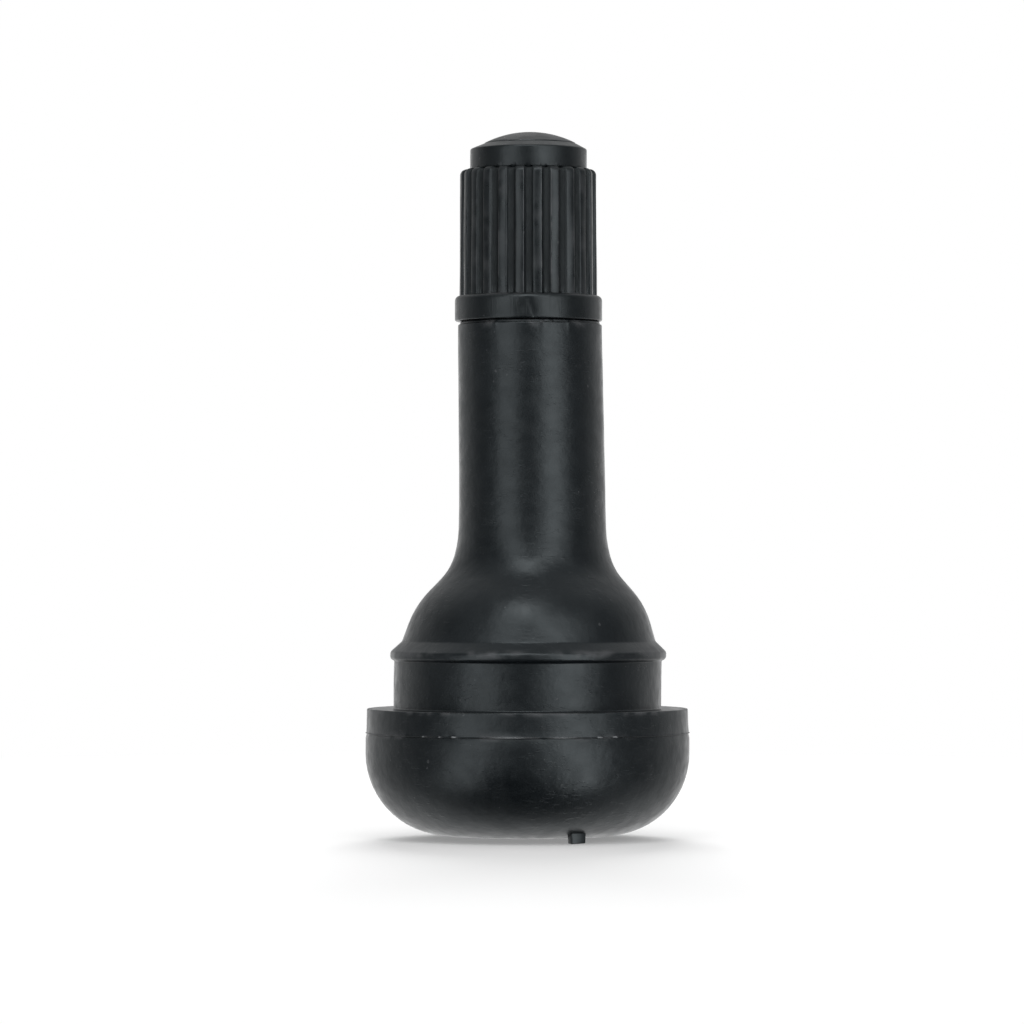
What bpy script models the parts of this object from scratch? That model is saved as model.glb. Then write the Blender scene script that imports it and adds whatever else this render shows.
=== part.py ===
"""Snap-in rubber tyre valve with a ribbed plastic dust cap.

The valve stands upright on the flat of its rubber base, with its axis on the world Z axis and
the camera side towards -Y. Every length is in metres and every angle in degrees.
Heights run up from the flat of the base. Depths run down the stem from the rim of its mouth.
"""
import math

import bmesh
import bpy
from mathutils import Matrix, Vector

# Facets around the large turned pieces and around the small ones
SEGMENTS = 48
CORE_SEGMENTS = 24

# A rounded corner is divided by its angle, but not into facets shorter than this
DEGREES_PER_ARC_STEP = 14.0
SHORTEST_FACET = 0.0002
MERGE_DISTANCE = 0.000001
SHARP_EDGE_ANGLE = 30.0

# Clearance between pieces that seat on one another
SEAT_GAP = 0.00005

# How far a tool runs past the surface that it cuts or joins
OVERRUN = 0.0003

# Rubber base: a flat to stand on, a large rounded corner, the mould's parting step, the flange
BASE_RADIUS = 0.01034
BASE_CORNER_RADIUS = 0.0052
PARTING_HEIGHT = 0.0065
PARTING_STEP = 0.00005
FLANGE_THICKNESS = 0.00156
FLANGE_RADIUS = 0.01025
FLANGE_EDGE_ROUND = 0.00008
AIR_HOLE_RADIUS = 0.0021

# Rubber groove that grips the wheel rim, between the flange and the bead above it
GROOVE_RADIUS = 0.00855
GROOVE_LENGTH = 0.00294
GROOVE_TOP_ROUND = 0.0001
GROOVE_FOOT_ROUND = 0.0007
BEAD_PROUD = 0.00027
BEAD_FLARE = 0.0003
BEAD_HEIGHT = 0.00038
BEAD_ROUND = 0.0003

# Rubber bell: corner points of the sketch, each with its rounding
SHOULDER_RADIUS = 0.0081
SHOULDER_RISE = 0.00068
BELL_RADIUS = 0.00733
BELL_RISE = 0.00232
BELL_ROUND = 0.0070
WAIST_RADIUS = 0.00522
WAIST_RISE = 0.00228
WAIST_ROUND = 0.0036
NECK_FOOT_RADIUS = 0.00474
NECK_FOOT_RISE = 0.0017
NECK_FOOT_ROUND = 0.0100
NECK_RADIUS = 0.00468
NECK_RISE = 0.00234
NECK_ROUND = 0.0200

# Rubber neck, up to its open end
NECK_LENGTH = 0.0116
NECK_TOP_RADIUS = 0.0046
NECK_EDGE_ROUND = 0.0002

# Moulding tab left below the rounded corner at the front right of the base
TAB_WIDTH = 0.0012
TAB_THICKNESS = 0.0008
TAB_DROP = 0.00025
TAB_ROOT = 0.0004
TAB_INSET = 0.00264
TAB_ANGLE = -66.0

# Pin, with the collar that the spring lifts and the riveted end below the cup
PIN_RECESS = 0.00025
PIN_TRAVEL = 0.0015
PIN_RADIUS = 0.0005
PIN_HEAD_RADIUS = 0.00075
PIN_HEAD_LENGTH = 0.0012
PIN_END_ROUND = 0.0003
PIN_COLLAR_CLEARANCE = 0.00015
PIN_COLLAR_LENGTH = 0.0004
PIN_COLLAR_DROP = 0.0002
PIN_RIVET_PROUD = 0.0003
PIN_RIVET_LENGTH = 0.00045
PIN_END_CLEARANCE = 0.0014
AIR_GAP = 0.00035

# Spring round the pin
SPRING_PIN_CLEARANCE = 0.00031
SPRING_WIRE_RADIUS = 0.00014
SPRING_CHAMBER_CLEARANCE = 0.00016
SPRING_TURNS = 6
SPRING_POINTS_PER_TURN = 14

# Core barrel: a swivelling tube that holds the spring and carries the sealing gasket
BARREL_WALL = 0.0003
BARREL_NECK_WALL = 0.00055
BARREL_FLANGE_LENGTH = 0.0025
BARREL_FLANGE_CLEARANCE = 0.00015
BARREL_TAIL_LENGTH = 0.00445
BARREL_TAIL_CLEARANCE = 0.0002
BARREL_TAIL_TAPER = 0.0005
BARREL_EDGE_INSET = 0.0004
BARREL_ROOF = 0.00075
BARREL_FLOOR = 0.0010

# Barrel gasket: the cone that seals the barrel against the stem
GASKET_WALL = 0.0003
GASKET_LENGTH = 0.0020
GASKET_STRAIGHT = 0.00065
GASKET_CONE_STEP = 0.00025

# Cup and its rubber washer, which the pin pulls up against the barrel
SEAT_GASKET_THICKNESS = 0.0011
CUP_WALL = 0.00015
CUP_RIM_LENGTH = 0.0006
CUP_FLOOR = 0.0004
CUP_CLEARANCE = 0.00015

# Core plug: the threaded head that a core tool turns by its two flats
PLUG_RECESS = 0.0009
PLUG_HEAD_LENGTH = 0.0017
PLUG_HEAD_INSET = 0.00063
PLUG_FLATS_WIDTH = 0.0028
PLUG_THREAD_STEP = 0.00043
PLUG_THREAD_LENGTH = 0.0034
PLUG_SOCKET_DEPTH = 0.0013
PLUG_RUNOUT = 0.0003

# Brass stem bonded in the rubber
STEM_FOOT_HEIGHT = 0.0040
STEM_FOOT_RADIUS = 0.0050
STEM_FOOT_THICKNESS = 0.0010
STEM_FOOT_CONE = 0.0014
STEM_WALL = 0.00077
STEM_EXPOSED_LENGTH = 0.0094
STEM_BARE_LENGTH = 0.0006
STEM_THREAD_DEPTH = 0.0004
STEM_MOUTH_CHAMFER = 0.00075
STEM_MOUTH_CHAMFER_LENGTH = 0.0009
STEM_BORE_CHAMFER = 0.0001
STEM_AIR_RADIUS = 0.0016

# Rubber washer in the cap's crown
SEAL_PROUD = 0.00005
SEAL_HOLE_RADIUS = 0.0015
SEAL_THICKNESS = 0.0012

# Dust cap
CAP_THREAD_CLEARANCE = 0.00005
CAP_WALL = 0.00026
CAP_GAP = 0.0002
COLLAR_PROUD = 0.00055
COLLAR_HEIGHT = 0.00163
COLLAR_EDGE_ROUND = 0.0004
COLLAR_LOWER_ROUND = 0.0001
RIB_COUNT = 24
RIB_PHASE = -82.5
RIB_DEPTH = 0.00022
RIB_CREST_ANGLE = 6.4
RIB_FOOT_ANGLE = 9.8
RIB_END_ROUND = 0.0005
RIB_TRIM = 0.00002
RIB_TOP_RISE = 0.0005
CROWN_WALL = 0.00053
CROWN_RISE = 0.00187
CROWN_EDGE_ROUND = 0.0002
DOME_INSET = 0.00022
DOME_RISE = 0.00101
DOME_STEPS = 6

# Colours
BLACK_RUBBER = (0.020, 0.021, 0.023)
BLACK_PLASTIC = (0.018, 0.019, 0.021)
GASKET_RUBBER = (0.030, 0.030, 0.032)
BRASS = (0.72, 0.53, 0.24)
STEEL = (0.60, 0.60, 0.61)


def paint(pieces, color, roughness, metallic=0.0):
    """Give each piece a Principled material of its own."""
    for piece in pieces:
        material = bpy.data.materials.new(piece.name)
        material.use_nodes = True
        shader = material.node_tree.nodes["Principled BSDF"]
        shader.inputs["Base Color"].default_value = (*color, 1.0)
        shader.inputs["Roughness"].default_value = roughness
        shader.inputs["Metallic"].default_value = metallic
        piece.data.materials.clear()
        piece.data.materials.append(material)


def side_share(neighbour):
    """Share of a side that a round may use: half where the corner at its far end is round too."""
    return 0.5 if len(neighbour) == 3 else 1.0


def rounded(corners, closed=True):
    """Outline points of a sketch whose corners are (radius, height) or (radius, height, round)."""
    points = []
    for index, corner in enumerate(corners):
        here = Vector(corner[:2])
        at_end = not closed and index in (0, len(corners) - 1)
        if len(corner) == 2 or at_end:
            points.append(tuple(here))
            continue
        back = Vector(corners[index - 1][:2]) - here
        ahead = Vector(corners[(index + 1) % len(corners)][:2]) - here
        half_turn = (math.pi - back.angle(ahead)) / 2
        back_room = back.length * side_share(corners[index - 1])
        ahead_room = ahead.length * side_share(corners[(index + 1) % len(corners)])
        reach = min(corner[2] * math.tan(half_turn), back_room, ahead_room)
        radius = reach / math.tan(half_turn)
        middle = (back.normalized() + ahead.normalized()).normalized()
        centre = here + middle * (radius / math.cos(half_turn))
        start = here + back.normalized() * reach - centre
        end = here + ahead.normalized() * reach - centre
        steps_by_angle = math.ceil(math.degrees(2 * half_turn) / DEGREES_PER_ARC_STEP)
        steps_by_length = math.ceil(2 * half_turn * radius / SHORTEST_FACET)
        steps = min(steps_by_angle, steps_by_length)
        first = math.atan2(start.y, start.x)
        sweep = math.remainder(math.atan2(end.y, end.x) - first, 2 * math.pi)
        for step in range(steps + 1):
            angle = first + sweep * step / steps
            points.append((centre.x + radius * math.cos(angle), centre.y + radius * math.sin(angle)))
    return points


def turned(name, outline, collection, height=0.0, segments=SEGMENTS, on_axis=False):
    """A solid of revolution about Z. An outline that starts and ends on the axis stays open."""
    count = len(outline)
    edges = [(index, (index + 1) % count) for index in range(count - 1 if on_axis else count)]
    mesh = bpy.data.meshes.new(name)
    mesh.from_pydata([(radius, 0.0, z) for radius, z in outline], edges, [])
    piece = bpy.data.objects.new(name, mesh)
    piece.location.z = height
    collection.objects.link(piece)
    screw = piece.modifiers.new("Turn", "SCREW")
    screw.axis = "Z"
    screw.angle = 2 * math.pi
    screw.steps = segments
    screw.render_steps = segments
    screw.use_merge_vertices = True
    screw.merge_threshold = MERGE_DISTANCE
    return piece


def weld(mesh):
    """Join the loose caps of a curve's mesh to its walls."""
    shape = bmesh.new()
    shape.from_mesh(mesh)
    bmesh.ops.remove_doubles(shape, verts=shape.verts, dist=MERGE_DISTANCE)
    shape.to_mesh(mesh)
    shape.free()


def as_mesh(piece):
    """Replace a piece's modifiers or curve by the mesh they make, with its creases kept sharp."""
    bpy.context.view_layer.update()
    evaluated = piece.evaluated_get(bpy.context.evaluated_depsgraph_get())
    mesh = bpy.data.meshes.new_from_object(evaluated)
    if piece.type == "CURVE":
        weld(mesh)
    mesh.shade_smooth()
    mesh.set_sharp_from_angle(angle=math.radians(SHARP_EDGE_ANGLE))
    if piece.type == "MESH":
        piece.modifiers.clear()
        piece.data = mesh
        return piece
    name = piece.name
    solid = bpy.data.objects.new(name, mesh)
    solid.matrix_world = piece.matrix_world
    for collection in piece.users_collection:
        collection.objects.link(solid)
    bpy.data.objects.remove(piece)
    solid.name = name
    return solid


def combine(piece, tool, operation):
    """Join a tool to a piece, cut the piece with it, or keep what they share."""
    boolean = piece.modifiers.new(operation.title(), "BOOLEAN")
    boolean.operation = operation
    boolean.solver = "EXACT"
    boolean.object = tool
    tool.hide_render = True
    tool.display_type = "WIRE"


def box(name, size, centre, turn, collection):
    """A box of a full size about a centre, turned about Z."""
    bpy.ops.mesh.primitive_cube_add(size=1.0)
    piece = bpy.context.object
    piece.name = name
    piece.data.transform(Matrix.Diagonal((*size, 1.0)))
    piece.location = centre
    piece.rotation_euler.z = turn
    for owner in list(piece.users_collection):
        owner.objects.unlink(piece)
    collection.objects.link(piece)
    return piece


def body_heights():
    """Heights of the rubber body's features above its flat."""
    heights = {"parting": PARTING_HEIGHT}
    heights["flange"] = heights["parting"] + FLANGE_THICKNESS
    heights["groove_top"] = heights["flange"] + GROOVE_LENGTH
    heights["bead"] = heights["groove_top"] + BEAD_FLARE
    heights["bead_top"] = heights["bead"] + BEAD_HEIGHT
    heights["shoulder"] = heights["bead_top"] + SHOULDER_RISE
    heights["bell"] = heights["shoulder"] + BELL_RISE
    heights["waist"] = heights["bell"] + WAIST_RISE
    heights["neck_foot"] = heights["waist"] + NECK_FOOT_RISE
    heights["neck"] = heights["neck_foot"] + NECK_RISE
    heights["neck_top"] = heights["neck"] + NECK_LENGTH
    heights["mouth"] = heights["neck_top"] + STEM_EXPOSED_LENGTH
    return heights


def core_depths():
    """Depths of the valve core's features below the mouth of the stem."""
    depths = {"plug_top": PLUG_RECESS}
    depths["plug_shoulder"] = depths["plug_top"] + PLUG_HEAD_LENGTH
    depths["plug_end"] = depths["plug_shoulder"] + PLUG_THREAD_LENGTH
    depths["socket"] = depths["plug_end"] - PLUG_SOCKET_DEPTH
    depths["barrel_flange"] = depths["plug_end"] + SEAT_GAP
    depths["chamber"] = depths["barrel_flange"] + BARREL_ROOF
    depths["collar"] = depths["chamber"] + PIN_COLLAR_DROP
    depths["collar_end"] = depths["collar"] + PIN_COLLAR_LENGTH
    depths["groove"] = depths["barrel_flange"] + BARREL_FLANGE_LENGTH
    depths["groove_end"] = depths["groove"] + GASKET_LENGTH
    depths["barrel_end"] = depths["groove_end"] + BARREL_TAIL_LENGTH
    depths["chamber_end"] = depths["barrel_end"] - BARREL_FLOOR
    depths["seat"] = depths["barrel_end"] + SEAT_GAP
    depths["seat_end"] = depths["seat"] + SEAT_GASKET_THICKNESS
    depths["cup_floor"] = depths["seat_end"] + SEAT_GAP
    depths["cup_end"] = depths["cup_floor"] + CUP_FLOOR
    depths["rivet"] = depths["cup_end"] + SEAT_GAP
    depths["pin_end"] = depths["rivet"] + PIN_RIVET_LENGTH
    return depths


def core_radii():
    """Radii from the pin outwards: the core's pieces, then the stem round them."""
    radii = {"spring": PIN_RADIUS + SPRING_PIN_CLEARANCE + SPRING_WIRE_RADIUS}
    radii["chamber"] = radii["spring"] + SPRING_WIRE_RADIUS + SPRING_CHAMBER_CLEARANCE
    radii["collar"] = radii["chamber"] - PIN_COLLAR_CLEARANCE
    radii["floor_hole"] = PIN_RADIUS + AIR_GAP
    radii["plug_bore"] = PIN_HEAD_RADIUS + AIR_GAP
    radii["neck"] = radii["plug_bore"] + BARREL_NECK_WALL
    radii["groove"] = radii["chamber"] + BARREL_WALL
    radii["gasket"] = radii["groove"] + SEAT_GAP + GASKET_WALL
    radii["stem_narrow"] = radii["gasket"] + SEAT_GAP
    radii["stem_wide"] = radii["stem_narrow"] + GASKET_CONE_STEP
    radii["tail"] = radii["stem_narrow"] - BARREL_TAIL_CLEARANCE
    radii["flange"] = radii["stem_wide"] - BARREL_FLANGE_CLEARANCE
    radii["cup"] = radii["stem_narrow"] - CUP_CLEARANCE
    radii["cup_inside"] = radii["cup"] - CUP_WALL
    radii["seat_gasket"] = radii["cup_inside"] - SEAT_GAP
    radii["plug_thread"] = radii["stem_wide"] + PLUG_THREAD_STEP
    radii["plug_head"] = radii["plug_thread"] - PLUG_HEAD_INSET
    radii["stem_thread_bore"] = radii["plug_thread"] + SEAT_GAP
    radii["shank"] = radii["stem_thread_bore"] + STEM_WALL
    radii["stem_thread"] = radii["shank"] + STEM_THREAD_DEPTH
    radii["mouth"] = radii["stem_thread"] - STEM_MOUTH_CHAMFER
    return radii


def corner_height(radius):
    """Height of the base's rounded corner above the flat, at a radius."""
    reach = radius - (BASE_RADIUS - BASE_CORNER_RADIUS)
    return BASE_CORNER_RADIUS - math.sqrt(BASE_CORNER_RADIUS ** 2 - reach ** 2)


def make_rubber_body(collection, tools, heights, radii):
    """Base, rim groove, bead, bell and neck in one moulding round the stem."""
    hole = radii["shank"] + SEAT_GAP
    foot = STEM_FOOT_HEIGHT - SEAT_GAP
    foot_hole = STEM_FOOT_RADIUS + SEAT_GAP
    foot_top = STEM_FOOT_HEIGHT + STEM_FOOT_THICKNESS + SEAT_GAP
    cone_top = foot_top + STEM_FOOT_CONE
    bead_radius = GROOVE_RADIUS + BEAD_PROUD
    outline = rounded([
        (NECK_TOP_RADIUS, heights["neck_top"], NECK_EDGE_ROUND),
        (NECK_RADIUS, heights["neck"], NECK_ROUND),
        (NECK_FOOT_RADIUS, heights["neck_foot"], NECK_FOOT_ROUND),
        (WAIST_RADIUS, heights["waist"], WAIST_ROUND),
        (BELL_RADIUS, heights["bell"], BELL_ROUND),
        (SHOULDER_RADIUS, heights["shoulder"], BEAD_ROUND),
        (bead_radius, heights["bead_top"], BEAD_ROUND),
        (bead_radius, heights["bead"], BEAD_ROUND),
        (GROOVE_RADIUS, heights["groove_top"], GROOVE_TOP_ROUND),
        (GROOVE_RADIUS, heights["flange"], GROOVE_FOOT_ROUND),
        (FLANGE_RADIUS, heights["flange"], FLANGE_EDGE_ROUND),
        (BASE_RADIUS - PARTING_STEP, heights["parting"]),
        (BASE_RADIUS, heights["parting"]),
        (BASE_RADIUS, 0.0, BASE_CORNER_RADIUS),
        (AIR_HOLE_RADIUS, 0.0),
        (AIR_HOLE_RADIUS, foot),
        (foot_hole, foot),
        (foot_hole, foot_top),
        (hole, cone_top),
        (hole, heights["neck_top"]),
    ])
    body = turned("rubber_body", outline, collection, height=TAB_DROP)
    angle = math.radians(TAB_ANGLE)
    radius = BASE_RADIUS - TAB_INSET
    height = TAB_DROP + corner_height(radius) + TAB_ROOT
    centre = (radius * math.cos(angle), radius * math.sin(angle), height / 2)
    tab = box("moulding_tab", (TAB_THICKNESS, TAB_WIDTH, height), centre, angle, tools)
    combine(body, tab, "UNION")
    return as_mesh(body)


def make_brass_stem(collection, heights, depths, radii, mouth):
    """Tube with a threaded end, a valve seat inside and an anchoring foot."""
    thread_end = STEM_EXPOSED_LENGTH - STEM_BARE_LENGTH - STEM_THREAD_DEPTH
    plug_bore_end = depths["plug_end"] + PLUG_RUNOUT
    cone_start = depths["groove"] + GASKET_STRAIGHT
    chamber_end = depths["pin_end"] + PIN_TRAVEL + PIN_END_CLEARANCE
    foot = heights["mouth"] - STEM_FOOT_HEIGHT
    foot_top = foot - STEM_FOOT_THICKNESS
    outline = [
        (radii["mouth"], 0.0),
        (radii["stem_thread"], -STEM_MOUTH_CHAMFER_LENGTH),
        (radii["stem_thread"], -thread_end),
        (radii["shank"], -thread_end - STEM_THREAD_DEPTH),
        (radii["shank"], -foot_top + STEM_FOOT_CONE),
        (STEM_FOOT_RADIUS, -foot_top),
        (STEM_FOOT_RADIUS, -foot),
        (STEM_AIR_RADIUS, -foot),
        (STEM_AIR_RADIUS, -chamber_end),
        (radii["stem_narrow"], -chamber_end),
        (radii["stem_narrow"], -depths["groove_end"]),
        (radii["stem_wide"], -cone_start),
        (radii["stem_wide"], -plug_bore_end),
        (radii["stem_thread_bore"], -plug_bore_end),
        (radii["stem_thread_bore"], -STEM_BORE_CHAMFER),
        (radii["stem_thread_bore"] + STEM_BORE_CHAMFER, 0.0),
    ]
    return as_mesh(turned("brass_stem", outline, collection, height=mouth))


def make_core_plug(collection, tools, depths, radii, mouth):
    """Threaded head with two flats for the core tool and a socket for the barrel's neck."""
    socket = radii["neck"] + SEAT_GAP
    head = radii["plug_head"]
    outline = [
        (head, -depths["plug_top"]),
        (head, -depths["plug_shoulder"]),
        (radii["plug_thread"], -depths["plug_shoulder"]),
        (radii["plug_thread"], -depths["plug_end"]),
        (socket, -depths["plug_end"]),
        (socket, -depths["socket"]),
        (radii["plug_bore"], -depths["socket"]),
        (radii["plug_bore"], -depths["plug_top"]),
    ]
    plug = turned("core_plug", outline, collection, mouth, CORE_SEGMENTS)
    cut_height = PLUG_HEAD_LENGTH + OVERRUN
    for side in (-1, 1):
        centre = (
            0.0,
            side * (PLUG_FLATS_WIDTH / 2 + head),
            mouth - depths["plug_shoulder"] + cut_height / 2,
        )
        size = (head * 4, head * 2, cut_height)
        combine(plug, box("flat_cutter", size, centre, 0.0, tools), "DIFFERENCE")
    return as_mesh(plug)


def make_core_barrel(collection, depths, radii, mouth):
    """Tube with a swivel neck, a gasket groove, a spring chamber and a sealing edge."""
    neck_top = depths["socket"] + SEAT_GAP
    outline = [
        (radii["neck"], -neck_top),
        (radii["neck"], -depths["barrel_flange"]),
        (radii["flange"], -depths["barrel_flange"]),
        (radii["flange"], -depths["groove"] + SEAT_GAP),
        (radii["groove"], -depths["groove"] + SEAT_GAP),
        (radii["groove"], -depths["groove_end"] - SEAT_GAP),
        (radii["tail"], -depths["groove_end"] - SEAT_GAP),
        (radii["tail"], -depths["barrel_end"] + BARREL_TAIL_TAPER),
        (radii["tail"] - BARREL_EDGE_INSET, -depths["barrel_end"]),
        (radii["floor_hole"], -depths["barrel_end"]),
        (radii["floor_hole"], -depths["chamber_end"]),
        (radii["chamber"], -depths["chamber_end"]),
        (radii["chamber"], -depths["chamber"]),
        (radii["plug_bore"], -depths["chamber"]),
        (radii["plug_bore"], -neck_top),
    ]
    return as_mesh(turned("core_barrel", outline, collection, mouth, CORE_SEGMENTS))


def make_barrel_gasket(collection, depths, radii, mouth):
    """Rubber sleeve whose cone seats in the stem."""
    inside = radii["groove"] + SEAT_GAP
    outline = [
        (radii["gasket"] + GASKET_CONE_STEP, -depths["groove"]),
        (radii["gasket"] + GASKET_CONE_STEP, -depths["groove"] - GASKET_STRAIGHT),
        (radii["gasket"], -depths["groove_end"]),
        (inside, -depths["groove_end"]),
        (inside, -depths["groove"]),
    ]
    return as_mesh(turned("barrel_gasket", outline, collection, mouth, CORE_SEGMENTS))


def make_core_pin(collection, depths, radii, mouth):
    """Pin with a rounded head, a spring collar and a riveted end."""
    head_end = PIN_RECESS + PIN_HEAD_LENGTH
    rivet = PIN_RADIUS + PIN_RIVET_PROUD
    outline = rounded([
        (0.0, -PIN_RECESS),
        (PIN_HEAD_RADIUS, -PIN_RECESS, PIN_END_ROUND),
        (PIN_HEAD_RADIUS, -head_end),
        (PIN_RADIUS, -head_end),
        (PIN_RADIUS, -depths["collar"]),
        (radii["collar"], -depths["collar"]),
        (radii["collar"], -depths["collar_end"]),
        (PIN_RADIUS, -depths["collar_end"]),
        (PIN_RADIUS, -depths["rivet"]),
        (rivet, -depths["rivet"]),
        (rivet, -depths["pin_end"], PIN_END_ROUND),
        (0.0, -depths["pin_end"]),
    ], closed=False)
    return as_mesh(turned("core_pin", outline, collection, mouth, CORE_SEGMENTS, on_axis=True))


def make_seat_gasket(collection, depths, radii, mouth):
    """Rubber washer that closes the barrel."""
    outline = [
        (radii["seat_gasket"], -depths["seat"]),
        (radii["seat_gasket"], -depths["seat_end"]),
        (PIN_RADIUS + SEAT_GAP, -depths["seat_end"]),
        (PIN_RADIUS + SEAT_GAP, -depths["seat"]),
    ]
    return as_mesh(turned("seat_gasket", outline, collection, mouth, CORE_SEGMENTS))


def make_pin_cup(collection, depths, radii, mouth):
    """Pressed cup that carries the washer on the pin."""
    rim_top = -depths["cup_floor"] + CUP_RIM_LENGTH
    outline = [
        (radii["cup"], rim_top),
        (radii["cup"], -depths["cup_end"]),
        (PIN_RADIUS + SEAT_GAP, -depths["cup_end"]),
        (PIN_RADIUS + SEAT_GAP, -depths["cup_floor"]),
        (radii["cup_inside"], -depths["cup_floor"]),
        (radii["cup_inside"], rim_top),
    ]
    return as_mesh(turned("pin_cup", outline, collection, mouth, CORE_SEGMENTS))


def make_core_spring(collection, depths, radii, mouth):
    """Coil between the pin's collar and the barrel's floor, closed at both ends."""
    top = -depths["collar_end"] - SEAT_GAP - SPRING_WIRE_RADIUS
    bottom = -depths["chamber_end"] + SEAT_GAP + SPRING_WIRE_RADIUS
    closed_pitch = 2 * SPRING_WIRE_RADIUS + SEAT_GAP
    open_pitch = (top - bottom - 2 * closed_pitch) / (SPRING_TURNS - 2)
    curve = bpy.data.curves.new("core_spring", "CURVE")
    curve.dimensions = "3D"
    curve.bevel_depth = SPRING_WIRE_RADIUS
    curve.bevel_resolution = 2
    curve.use_fill_caps = True
    spline = curve.splines.new("POLY")
    spline.points.add(SPRING_TURNS * SPRING_POINTS_PER_TURN)
    height = bottom
    for index, point in enumerate(spline.points):
        turn = index / SPRING_POINTS_PER_TURN
        angle = 2 * math.pi * turn
        x = radii["spring"] * math.cos(angle)
        y = radii["spring"] * math.sin(angle)
        point.co = (x, y, height, 1.0)
        in_end_coil = turn < 1 or turn >= SPRING_TURNS - 1
        height += (closed_pitch if in_end_coil else open_pitch) / SPRING_POINTS_PER_TURN
    spring = bpy.data.objects.new("core_spring", curve)
    spring.location.z = mouth
    collection.objects.link(spring)
    return as_mesh(spring)


def make_cap_seal(collection, radii, mouth):
    """Rubber washer between the cap's crown and the mouth of the stem."""
    radius = radii["mouth"] + SEAL_PROUD
    outline = [
        (radius, SEAT_GAP + SEAL_THICKNESS),
        (radius, SEAT_GAP),
        (SEAL_HOLE_RADIUS, SEAT_GAP),
        (SEAL_HOLE_RADIUS, SEAT_GAP + SEAL_THICKNESS),
    ]
    return as_mesh(turned("cap_seal", outline, collection, height=mouth))


def rib_prism(name, valley_radius, low, high, collection):
    """Fluted prism about Z: a flat outline with ribs, extruded between two heights."""
    curve = bpy.data.curves.new(name, "CURVE")
    curve.dimensions = "2D"
    curve.fill_mode = "BOTH"
    curve.extrude = (high - low) / 2
    crest_radius = valley_radius + RIB_DEPTH
    rib_points = (
        (-RIB_FOOT_ANGLE / 2, valley_radius),
        (-RIB_CREST_ANGLE / 2, crest_radius),
        (RIB_CREST_ANGLE / 2, crest_radius),
        (RIB_FOOT_ANGLE / 2, valley_radius),
    )
    spline = curve.splines.new("POLY")
    spline.points.add(RIB_COUNT * len(rib_points) - 1)
    spline.use_cyclic_u = True
    for index, point in enumerate(spline.points):
        rib, corner = divmod(index, len(rib_points))
        offset, radius = rib_points[corner]
        angle = math.radians(RIB_PHASE + rib * 360 / RIB_COUNT + offset)
        point.co = (radius * math.cos(angle), radius * math.sin(angle), 0.0, 1.0)
    prism = bpy.data.objects.new(name, curve)
    prism.location.z = (low + high) / 2
    collection.objects.link(prism)
    return as_mesh(prism)


def dome_outline(edge_radius, rise, foot):
    """Spherical top from the axis down to its edge."""
    sphere_radius = (edge_radius ** 2 + rise ** 2) / (2 * rise)
    half_angle = math.asin(edge_radius / sphere_radius)
    centre = foot + rise - sphere_radius
    angles = [half_angle * step / DOME_STEPS for step in range(DOME_STEPS + 1)]
    return [(sphere_radius * math.sin(a), centre + sphere_radius * math.cos(a)) for a in angles]


def make_cap(collection, tools, heights, radii, mouth):
    """One-piece cap: collar, ribbed skirt, crown and dome, hollow for the stem and the seal."""
    bore = radii["stem_thread"] + CAP_THREAD_CLEARANCE
    valley = bore + CAP_WALL
    collar = valley + COLLAR_PROUD
    crown_bore = radii["mouth"] + SEAL_PROUD + SEAT_GAP
    crown = crown_bore + CROWN_WALL
    bottom = heights["neck_top"] + CAP_GAP - heights["mouth"]
    roof = SEAT_GAP + SEAL_THICKNESS + SEAT_GAP
    dome = dome_outline(crown - DOME_INSET, DOME_RISE, CROWN_RISE)
    shell = rounded([
        *dome,
        (crown, CROWN_RISE, CROWN_EDGE_ROUND),
        (crown, bottom + COLLAR_HEIGHT),
        (collar, bottom + COLLAR_HEIGHT, COLLAR_EDGE_ROUND),
        (collar, bottom, COLLAR_LOWER_ROUND),
        (0.0, bottom),
    ], closed=False)
    cap = turned("cap", shell, collection, mouth, on_axis=True)

    rib_foot = bottom + COLLAR_HEIGHT - OVERRUN
    ribs = rib_prism("ribs", valley, mouth + rib_foot, mouth + RIB_TOP_RISE, tools)
    trim_radius = valley + RIB_DEPTH + RIB_TRIM
    trim_outline = rounded([
        (0.0, RIB_TOP_RISE + RIB_TRIM),
        (trim_radius, RIB_TOP_RISE + RIB_TRIM, RIB_END_ROUND),
        (trim_radius, rib_foot - RIB_TRIM),
        (0.0, rib_foot - RIB_TRIM),
    ], closed=False)
    trim = turned("rib_trim", trim_outline, tools, mouth, on_axis=True)
    combine(ribs, trim, "INTERSECT")
    combine(cap, ribs, "UNION")

    cone_slope = STEM_MOUTH_CHAMFER_LENGTH / STEM_MOUTH_CHAMFER
    cone_top = -cone_slope * (crown_bore - CAP_THREAD_CLEARANCE - radii["mouth"])
    hollow_outline = [
        (0.0, roof),
        (crown_bore, roof),
        (crown_bore, cone_top),
        (bore, -STEM_MOUTH_CHAMFER_LENGTH),
        (bore, bottom - OVERRUN),
        (0.0, bottom - OVERRUN),
    ]
    hollow = turned("hollow", hollow_outline, tools, mouth, on_axis=True)
    combine(cap, hollow, "DIFFERENCE")
    return as_mesh(cap)


def attach(child, parent):
    """Parent a piece without moving it."""
    bpy.context.view_layer.update()
    child.parent = parent
    child.matrix_parent_inverse = parent.matrix_world.inverted()


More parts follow.
